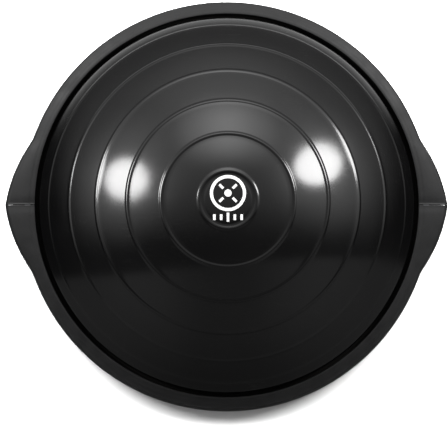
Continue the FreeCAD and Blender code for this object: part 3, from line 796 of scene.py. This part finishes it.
    def print_bar(self, bm: Mesh, centre: Point2, angle: float, start: float, end: float, width: float) -> None:
        """Prints a straight bar along a direction from a centre.

        Args:
            bm: The mesh to add to.
            centre: The point that distances are counted from.
            angle: The bar's direction.
            start: Distance of its near end.
            end: Distance of its far end.
            width: Its width.
        """
        along = Vector((math.cos(angle), math.sin(angle)))
        across = Vector((-along.y, along.x))
        rows = []
        for step in range(9):
            middle = Vector(centre) + along * (start + (end - start) * step / 8)
            rows.append([tuple(middle + across * side * width) for side in (-0.5, 0.0, 0.5)])
        self.print_film(bm, rows, False)


@dataclass
class Rim:
    """The clamping rim in two equal halves that meet on the handles' middle line."""

    inner_radius: float = 0.3012
    outer_radius: float = 0.325
    draft: float = 0.004
    arc_radius: float = 0.235
    arc_offset: float = 0.0348
    lip: float = 0.003
    wall: float = 0.0038
    flange: float = 0.004
    lip_bottom: float = 0.0354
    seam_gap: float = 0.0006
    notch_blend: float = 0.0016
    slope_drop: float = 0.0042
    seam_round: float = 0.0005
    seam_lip: float = 0.0005
    seam_pillow: float = 0.0012
    seam_steps: tuple[float, ...] = (0.0, 0.12, 0.3, 0.6, 1.0, 1.5, 2.2, 3.2, 4.6, 6.5, 9.0, 12.0)
    stations: int = 260
    boss_circle: float = 0.3164
    boss_radii: Point2 = (0.0018, 0.0040)
    boss_drop: float = 0.0036
    pocket_angle: float = 15.5
    tip: float = field(init=False)
    top: float = field(init=False)
    bottom: float = field(init=False)

    def __post_init__(self) -> None:
        """Reads the extents from the frame."""
        low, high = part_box("rear_rim_half")
        self.tip = high.x
        self.top = high.z
        self.bottom = low.z

    def outline_radius(self, angle: float) -> float:
        """Distance from the axis to the rim's outer outline.

        Args:
            angle: Direction from the nearer handle's middle line, in radians, from 0 to half pi.

        Returns:
            The distance in metres, with the notch beside the handle blended.
        """
        centre_x = self.tip - math.sqrt(self.arc_radius**2 - self.arc_offset**2)
        centre = Vector((centre_x, -self.arc_offset))
        ray = Vector((math.cos(angle), math.sin(angle)))
        along = centre.dot(ray)
        rest = self.arc_radius**2 - centre.length_squared + along * along
        handle = along + math.sqrt(max(rest, 0.0))
        gap = handle - self.outer_radius
        blend = self.notch_blend
        return self.outer_radius + 0.5 * (gap + math.sqrt(gap * gap + blend * blend))

    def handle_share(self, angle: float) -> float:
        """1 in the middle of a handle, 0 on the plain ring."""
        reach = self.outline_radius(angle) - self.outer_radius
        return min(1.0, max(0.0, reach / (self.tip - self.outer_radius)))

    def seam_fall(self, distance: float, side: Side) -> float:
        """How far the top face falls near the seam.

        Args:
            distance: Distance from the seam face.
            side: Which half; the rear one ends in a low lip.

        Returns:
            The fall in metres.
        """
        fall = self.seam_pillow * math.exp(-((distance / 0.010) ** 2))
        if side is Side.REAR:
            fall -= self.seam_lip * math.exp(-(((distance - 0.0008) / 0.0011) ** 2))
        if distance < self.seam_round:
            inside = self.seam_round - distance
            fall += self.seam_round - math.sqrt(max(self.seam_round**2 - inside**2, 0.0))
        return fall

    def face_line(self, outer: float, share: float, fall: float) -> list[Point2]:
        """The top face in section, from the lip's inner edge to the outer wall.

        Args:
            outer: Outer radius at this station.
            share: How much of a handle this station is.
            fall: How far the whole face falls here.

        Returns:
            Points of (radius, height).
        """
        inner_round = 0.0010
        outer_round = 0.0050 + 0.0015 * share
        start = self.inner_radius + inner_round
        finish = outer - outer_round
        line = ring_points((start, self.top - inner_round - fall), inner_round, math.pi, math.pi / 2, 6)
        for step in range(1, 25):
            reach = (finish - start) * step / 25
            line.append((start + reach, self.top - self.face_fall(reach, finish - start, share) - fall))
        edge_top = self.top - self.face_fall(finish - start, finish - start, share) - fall
        line += ring_points((finish, edge_top - outer_round), outer_round, math.pi / 2, 0.0, 8)
        return line

    def face_fall(self, reach: float, width: float, share: float) -> float:
        """The top face's fall below its highest line.

        Args:
            reach: Distance outwards from the lip's edge.
            width: Width of the face.
            share: How much of a handle this station is.

        Returns:
            The fall in metres: a small lip, a shallow valley, then a crowned slope outwards.
        """
        valley = 0.0002 * math.exp(-(((reach - 0.0058) / 0.0020) ** 2))
        part = reach / width
        slope = self.slope_drop * part**1.6 * (1.0 + 0.25 * share)
        return valley + slope

    def section(self, outer: float, share: float, fall: float) -> list[Point2]:
        """The closed section of the rim at one station."""
        line = self.face_line(outer - self.draft, share, fall)
        foot = 0.0009
        line += [(outer, self.bottom + foot), (outer - foot * 0.3, self.bottom + foot * 0.3)]
        line.append((outer - foot, self.bottom))
        inside = outer - self.wall
        ceiling = self.top - self.flange - self.slope_drop * 0.5
        line += [(inside, self.bottom), (inside - self.draft, ceiling - 0.002 - fall)]
        line.append((inside - self.draft - 0.002, ceiling - fall))
        lip_outer = self.inner_radius + self.lip
        under = self.top - self.flange - fall
        line += [(lip_outer + 0.001, under), (lip_outer, under - 0.001)]
        line += [(lip_outer, self.lip_bottom), (self.inner_radius, self.lip_bottom)]
        return line

    def station_angles(self) -> list[float]:
        """Angles of the stations from one seam to the other, closer together near the seams."""
        angles = []
        for step in range(self.stations + 1):
            part = step / self.stations
            eased = 0.5 - 0.5 * math.cos(math.pi * part)
            angles.append(math.pi * (0.55 * eased + 0.45 * part))
        return angles

    def build_half(self, side: Side) -> Piece:
        """Builds one half of the rim.

        Args:
            side: Which half.

        Returns:
            The piece.
        """
        bm = bmesh.new()
        half_gap = self.seam_gap / 2
        close = [half_gap + step * MM for step in self.seam_steps]
        stations: list[tuple[float, Optional[float]]] = [(math.atan2(y, self.tip), y) for y in close]
        limit = close[-1] / self.inner_radius * 1.15
        stations += [(a, None) for a in self.station_angles() if limit < a < math.pi - limit]
        stations += [(math.pi - a, y) for a, y in reversed(stations[:len(close)])]
        rows = []
        for angle, level in stations:
            folded = min(angle, math.pi - angle)
            distance = (level if level is not None else math.sin(angle) * self.inner_radius) - half_gap
            fall = self.seam_fall(distance, side)
            row = []
            for radius, height in self.section(self.outline_radius(folded), self.handle_share(folded), fall):
                y = radius * math.sin(angle) if level is None else level
                x = math.copysign(math.sqrt(radius * radius - y * y), math.cos(angle))
                row.append(bm.verts.new((x, side.value * y, height)))
            rows.append(row)
        skin(bm, rows)
        for place in Place:
            self.add_pocket_wall(bm, side, place)
        self.add_bosses(bm, side)
        name = "rear_rim" if side is Side.REAR else "front_rim"
        half = piece_of(name, bm, RIM_PLASTIC, node=f"{name}_half", body="platform", smooth_angle=40.0)
        half.visible_glossy = False
        return half

    def add_pocket_wall(self, bm: Mesh, side: Side, place: Place) -> None:
        """Adds the wall between the channel and the finger pocket of one handle.

        Args:
            bm: The mesh to add to.
            side: Which half.
            place: Which handle.
        """
        low, high = self.bottom, self.top - self.flange - 0.0015
        outer = self.outer_radius - self.draft
        inner = outer - self.wall
        rows = []
        steps = 20
        for step in range(steps + 1):
            angle = math.asin(self.seam_gap / 2 / outer) + math.radians(self.pocket_angle) * step / steps
            x, y = place.value * math.cos(angle), side.value * math.sin(angle)
            corners = ((outer, low), (outer, high), (inner, high), (inner, low))
            rows.append([bm.verts.new((x * radius, y * radius, height)) for radius, height in corners])
        skin(bm, rows)

    def add_bosses(self, bm: Mesh, side: Side) -> None:
        """Adds the screw bosses in the channel."""
        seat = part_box("deck_frame")[1].z - 0.011
        ceiling = self.top - self.flange - self.boss_drop
        bore, outside = self.boss_radii
        outline = [(bore, seat), (outside, seat), (outside, ceiling), (bore, ceiling)]
        for centre in ring_points((0.0, 0.0), self.boss_circle, math.pi / 16, math.pi * 15 / 16, 7):
            lathe(bm, outline, 20, (centre[0], centre[1] * side.value))


@dataclass
class Underside:
    """The tread of raised rings on the underside plate, and the feet that plug into it."""

    first_ring: float = 0.060
    last_ring: float = 0.240
    ring_pitch: float = 0.015
    ring_width: float = 0.0036
    ring_rise: float = 0.0008
    segments: int = 160

    def build_tread(self) -> Piece:
        """Builds the raised rings of the underside plate.

        Returns:
            The piece.
        """
        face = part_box("deck_cover")[0].z
        bm = bmesh.new()
        for index in range(round((self.last_ring - self.first_ring) / self.ring_pitch) + 1):
            inner = self.first_ring + index * self.ring_pitch - self.ring_width / 2
            outer = inner + self.ring_width
            root, crest = face + 0.0003, face - self.ring_rise
            corners = [(inner, root, 0.0), (inner, crest, 0.0005), (outer, crest, 0.0005), (outer, root, 0.0)]
            lathe(bm, rounded(corners, 3), self.segments)
        return piece_of("tread_rings", bm, DECK_PLASTIC, body="platform")

    def build_foot(self, index: int) -> Piece:
        """Builds one rubber foot with a rounded edge and two grip rings.

        Args:
            index: The foot's number, from 1.

        Returns:
            The piece.
        """
        node = f"rubber_foot_{index}"
        low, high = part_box(node)
        centre = ((low.x + high.x) / 2, (low.y + high.y) / 2)
        radius = (high.x - low.x) / 2
        spigot = 0.006
        pad = low.z + 0.004
        sunk = low.z + 0.0006
        corners = [
            (0.0, sunk, 0.0), (0.006, sunk, 0.0003), (0.0066, low.z, 0.0002), (0.0086, low.z, 0.0002),
            (0.0092, sunk, 0.0003), (0.0114, sunk, 0.0003), (0.012, low.z, 0.0002),
            (radius - 0.0002, low.z, 0.0014), (radius, pad, 0.0006),
            (spigot, pad, 0.0), (spigot, high.z, 0.0015), (0.0, high.z, 0.0),
        ]
        bm = bmesh.new()
        lathe(bm, rounded(corners), 72, centre)
        return piece_of(f"foot_{index}", bm, FOOT_RUBBER, node=node, body="platform")

    def build(self) -> list[Piece]:
        """Builds the tread and all feet."""
        return [self.build_tread()] + [self.build_foot(index) for index in range(1, 9)]


@dataclass
class Valve:
    """The valve socket and its plug, in the port of the underside."""

    bore: float = 0.0033

    def build_socket(self) -> Piece:
        """Builds the rubber socket with a rolled lower edge."""
        low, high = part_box("valve_socket")
        flange, neck, tube = 0.011, 0.006, 0.0052
        first, second, third = low.z + 0.0019, low.z + 0.0055, low.z + 0.0074
        corners = [
            (self.bore, low.z, 0.0004), (flange, low.z, 0.0009), (flange, first, 0.0005), (neck, first, 0.0),
            (neck, second, 0.0), (flange, second, 0.0005), (flange, third, 0.0009),
            (tube, third, 0.0), (tube, high.z, 0.0006), (self.bore, high.z, 0.0003),
        ]
        bm = bmesh.new()
        lathe(bm, rounded(corners), 64)
        return piece_of("valve_grommet", bm, VALVE_RUBBER, node="valve_socket", body="platform")

    def build_plug(self) -> Piece:
        """Builds the plug with a rounded head, sealing rings and a pinched pull tab."""
        low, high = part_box("valve_plug")
        head = 0.007
        tab = low.z + 0.0047
        seat = tab + 0.0024
        shank = self.bore - 0.00005
        waist = shank - 0.0002
        corners = [(0.0, tab, 0.0), (head, tab, 0.0009), (head, seat, 0.0006), (waist, seat, 0.0)]
        for index in range(3):
            height = seat + 0.003 + index * 0.003
            corners += [(waist, height, 0.0), (shank, height + 0.0004, 0.0), (waist, height + 0.0008, 0.0)]
        corners += [(waist, high.z - 0.0016, 0.0004), (shank - 0.0008, high.z, 0.0004), (0.0, high.z, 0.0)]
        bm = bmesh.new()
        lathe(bm, rounded(corners), 56)
        self.add_tab(bm, low.z, tab)
        return piece_of("valve_stopper", bm, PLUG_PLASTIC, node="valve_plug", body="plug")

    def add_tab(self, bm: Mesh, low: float, high: float) -> None:
        """Adds the pull tab, thicker along its lower edge."""
        levels = (
            (0.0, 0.0036, 0.0009), (0.1, 0.0042, 0.0013), (0.3, 0.0045, 0.0013),
            (0.55, 0.0043, 0.0008), (1.0, 0.0045, 0.0011), (1.12, 0.0045, 0.0012),
        )
        circle = ring_points((0.0, 0.0), 1.0, 0.0, 2 * math.pi, 24)[:-1]
        rows = []
        for part, half_length, half_width in levels:
            row = []
            for x, y in circle:
                x = math.copysign(abs(x) ** 0.5, x) * half_length
                y = math.copysign(abs(y) ** 0.5, y) * half_width
                row.append(bm.verts.new((x, y, low + (high - low) * part)))
            rows.append(row)
        skin(bm, rows)


@dataclass
class Hardware:
    """CAD nodes that keep their own shape and only get a finish."""

    finishes: dict[str, Finish] = field(default_factory=lambda: {
        "deck_frame": DECK_PLASTIC, "deck_cover": DECK_PLASTIC, "bladder_floor": FLOOR_VINYL,
        "left_splice_plate": ZINC, "right_splice_plate": ZINC,
        "rim_screws": ZINC, "cover_screws": ZINC, "splice_screws": ZINC,
    })
    hidden_inside: tuple[str, ...] = ("left_splice_plate", "right_splice_plate", "rim_screws", "splice_screws")

    def dress(self) -> list[str]:
        """Dresses each node. Those that sit inside the rim stay out of the dome's mirror images.

        Returns:
            The nodes' names.
        """
        for name, finish in self.finishes.items():
            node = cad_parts[name]
            node.data.materials.clear()
            node.data.materials.append(material_of(finish))
            node.visible_glossy = name not in self.hidden_inside
        return list(self.finishes)


# ---- Studio ----


def heading(azimuth: float, elevation: float) -> tuple[float, float, float]:
    """A direction from its azimuth, counted from +X towards +Y, and its elevation, in degrees."""
    turn, rise = math.radians(azimuth), math.radians(elevation)
    return (math.cos(rise) * math.cos(turn), math.cos(rise) * math.sin(turn), math.sin(rise))


@dataclass(frozen=True)
class Lobe:
    """A round patch of the surroundings that is brighter than the rest, with a soft edge."""

    direction: tuple[float, float, float]
    inner: float
    outer: float
    radiance: float

    def add_to(self, net: Wiring, ray: Socket, total: Socket) -> Socket:
        """Adds the patch to a sum of radiances.

        Args:
            net: The wiring of the surroundings.
            ray: The direction that is looked in.
            total: The sum so far.

        Returns:
            The new sum.
        """
        dot = net.add("ShaderNodeVectorMath", operation="DOT_PRODUCT")
        net.feed(dot.inputs[0], ray)
        dot.inputs[1].default_value = self.direction
        angle = net.math("ARCCOSINE", dot.outputs["Value"])
        patch = net.remap(angle, math.radians(self.inner), math.radians(self.outer), self.radiance, 0.0)
        return net.plus(total, patch)


@dataclass(frozen=True)
class Softbox:
    """One soft light: a direction from the object, a distance, a size and a radiance."""

    name: str
    direction: tuple[float, float, float]
    distance: float
    size: tuple[float, float]
    radiance: float

    def build(self, target: Vector) -> Piece:
        """Places the light.

        Args:
            target: The point that it faces.

        Returns:
            The light.
        """
        data = bpy.data.lights.new(self.name, "AREA")
        data.shape = "ELLIPSE"
        data.size, data.size_y = self.size
        area = self.size[0] * self.size[1] * math.pi / 4
        data.energy = self.radiance * math.pi * area
        light = bpy.data.objects.new(self.name, data)
        bpy.context.scene.collection.objects.link(light)
        away = Vector(self.direction).normalized()
        light.location = target + away * self.distance
        light.rotation_mode = "QUATERNION"
        light.rotation_quaternion = away.to_track_quat("Z", "Y")
        light.visible_camera = False
        return light


@dataclass
class Studio:
    """Floor, lights, surroundings and the camera.

    The softboxes light all but the floor and the rim; the floor and the rim have lights of their own.
    """

    camera_distance: float = 4.0
    lens: float = 205.2
    sensor: float = 36.0
    elevation: float = 87.6
    sideways: float = 0.5
    shift: Point2 = (-0.0075, -0.0215)
    floor_half: float = 6.0
    floor_tone: float = 0.62
    lights: tuple[Softbox, ...] = (
        Softbox("left_softbox", heading(165.5, 30.0), 1.5, (0.51, 0.71), 23.0),
        Softbox("right_softbox", heading(24.0, 32.3), 1.5, (0.52, 0.80), 23.0),
    )
    base_radiance: float = 0.11
    rear_radiance: float = 0.85
    backdrop_radiance: float = 1.0
    rear_ramp: Point2 = (-0.38, 0.28)
    table_radiance: Point2 = (0.10, 0.27)
    table_edge: Point2 = (0.575, 0.10)
    floor_lights: tuple[Softbox, ...] = (
        Softbox("left_floor_light", heading(130.0, 45.0), 2.5, (2.0, 2.0), 27.0),
        Softbox("right_floor_light", heading(50.0, 45.0), 2.5, (2.0, 2.0), 27.0),
    )
    rim_lights: tuple[Softbox, ...] = (
        Softbox("left_rim_light", heading(138.0, 35.0), 1.5, (0.6, 0.8), 10.5),
        Softbox("right_rim_light", heading(42.0, 35.0), 1.5, (0.6, 0.8), 10.5),
    )
    sky: tuple[Lobe, ...] = (
        Lobe(heading(80.0, 47.0), 8.0, 25.0, 1.4),
        Lobe(heading(100.0, 47.0), 8.0, 25.0, 1.4),
        Lobe(heading(90.0, 28.0), 5.0, 50.0, 0.5),
        Lobe(heading(22.0, 30.0), 10.0, 38.0, 0.7),
        Lobe(heading(164.0, 28.0), 10.0, 38.0, 0.7),
    )

    def build_floor(self) -> Piece:
        """Lays the plain pale floor, which can be looked through from below.

        Returns:
            The floor.
        """
        bm = bmesh.new()
        bmesh.ops.create_grid(bm, x_segments=1, y_segments=1, size=self.floor_half)
        material = bpy.data.materials.new("pale_floor")
        material.use_nodes = True
        net = Wiring(material.node_tree)
        shader = net.find("BSDF_PRINCIPLED")
        net.feed(shader.inputs["Base Color"], (self.floor_tone, self.floor_tone, self.floor_tone, 1.0))
        net.feed(shader.inputs["Roughness"], 0.9)
        net.feed(shader.inputs["Specular IOR Level"], 0.0)
        one_sided = net.add("ShaderNodeMixShader")
        net.feed(one_sided.inputs[0], net.add("ShaderNodeNewGeometry").outputs["Backfacing"])
        net.feed(one_sided.inputs[1], shader.outputs[0])
        net.feed(one_sided.inputs[2], net.add("ShaderNodeBsdfTransparent").outputs[0])
        net.feed(net.find("OUTPUT_MATERIAL").inputs["Surface"], one_sided.outputs[0])
        floor = mesh_object("studio_floor", bm, material)
        floor.visible_glossy = False
        return floor

    def build_world(self) -> None:
        """Sets the surroundings: brighter on the rear side, with soft patches and a dim table in front."""
        world = bpy.data.worlds.new("studio")
        world.use_nodes = True
        net = Wiring(world.node_tree)
        ray = net.add("ShaderNodeTexCoord").outputs["Generated"]
        x, y, z = net.split(ray)
        low = net.times(net.math("MINIMUM", z, 0.0), 0.9)
        rearward = net.remap(net.plus(y, low), *self.rear_ramp, 0.0, self.rear_radiance)
        height = net.remap(z, -0.75, 0.60, 0.12, 1.0)
        zenith = net.remap(z, 0.80, 1.0, 1.0, 0.62)
        total = net.times(net.times(rearward, height), zenith)
        total = net.plus(total, net.times(height, self.base_radiance))
        for lobe in self.sky:
            total = lobe.add_to(net, ray, total)
        backdrop = net.remap(z, -0.56, -0.72, 0.0, 1.0)
        behind = net.times(net.remap(y, 0.30, 0.50, 0.0, 1.0), backdrop)
        total = net.plus(total, net.times(behind, self.backdrop_radiance))
        total = net.times(total, net.remap(z, -0.97, -0.92, 0.05, 1.0))
        edge = net.math("SQRT", net.times(net.plus(z, 1.0), 0.5))
        reach = net.less(self.table_edge[0], net.times(x, self.table_edge[1]))
        beyond = net.plus(y, net.times(edge, reach))
        table = net.remap(beyond, -0.02, 0.02, 1.0, 0.0)
        sides = net.remap(net.math("ABSOLUTE", x), 0.1, 0.8, *self.table_radiance)
        table = net.times(table, net.times(sides, net.remap(z, -0.7, 0.5, 0.35, 1.0)))
        total = net.plus(total, table)
        background = net.find("BACKGROUND")
        net.feed(background.inputs["Color"], (1.0, 1.0, 1.0, 1.0))
        net.feed(background.inputs["Strength"], total)
        bpy.context.scene.world = world

    @staticmethod
    def link(light: Piece, pieces: Sequence[Piece], only_these: bool) -> None:
        """Lets a light fall on some pieces only, or on all but them.

        Args:
            light: The light.
            pieces: The pieces.
            only_these: Which of the two.
        """
        group = bpy.data.collections.new(f"{light.name}_receivers")
        for piece in pieces:
            group.objects.link(piece)
        for entry in group.collection_objects:
            entry.light_linking.link_state = "INCLUDE" if only_these else "EXCLUDE"
        light.light_linking.receiver_collection = group

    def build_camera(self) -> None:
        """Places the camera above the trainer, leaning a little towards the front."""
        rim_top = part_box("rear_rim_half")[1].z
        target = Vector((0.0, 0.0, rim_top))
        lean = math.radians(self.elevation)
        aside = math.radians(self.sideways)
        back = Vector((-math.sin(aside), -math.cos(lean), math.sin(lean))).normalized()
        data = bpy.data.cameras.new("studio_camera")
        data.lens = self.lens
        data.sensor_width = self.sensor
        data.clip_start = 0.05
        data.clip_end = 50.0
        camera = bpy.data.objects.new("studio_camera", data)
        bpy.context.scene.collection.objects.link(camera)
        right = Vector((0.0, 1.0, 0.0)).cross(back).normalized()
        upright = back.cross(right)
        turned = Matrix((right, upright, back)).transposed().to_4x4()
        camera.matrix_world = Matrix.Translation(target + back * self.camera_distance) @ turned
        data.shift_x, data.shift_y = self.shift
        bpy.context.scene.camera = camera

    def build(self, dull: Sequence[Piece]) -> None:
        """Builds the whole studio.

        Args:
            dull: Pieces that the softboxes leave out.
        """
        floor = self.build_floor()
        self.build_world()
        target = Vector((0.0, 0.0, 0.12))
        for light in self.lights:
            self.link(light.build(target), [floor, *dull], False)
        for light in self.rim_lights:
            self.link(light.build(target), dull, True)
        for light in self.floor_lights:
            self.link(light.build(target), [floor], True)
        self.build_camera()
        bpy.context.scene.view_settings.view_transform = "Standard"
        bpy.context.scene.view_settings.look = "None"


def main() -> None:
    """Builds every sub-assembly round the frame, and reports each piece."""
    logging.basicConfig(level=logging.INFO, format="%(name)s: %(message)s")
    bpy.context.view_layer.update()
    dome_pieces = Dome().build()
    rim_pieces = [Rim().build_half(side) for side in Side]
    underside_pieces = Underside().build()
    valve_pieces = [Valve().build_socket(), Valve().build_plug()]
    for piece in dome_pieces + rim_pieces + underside_pieces + valve_pieces:
        LOG.info("%s: %d faces", piece.name, len(piece.data.polygons))
    for name in Hardware().dress():
        LOG.info("%s: dressed", name)
    Studio().build(rim_pieces)


if __name__ == "__main__":
    main()
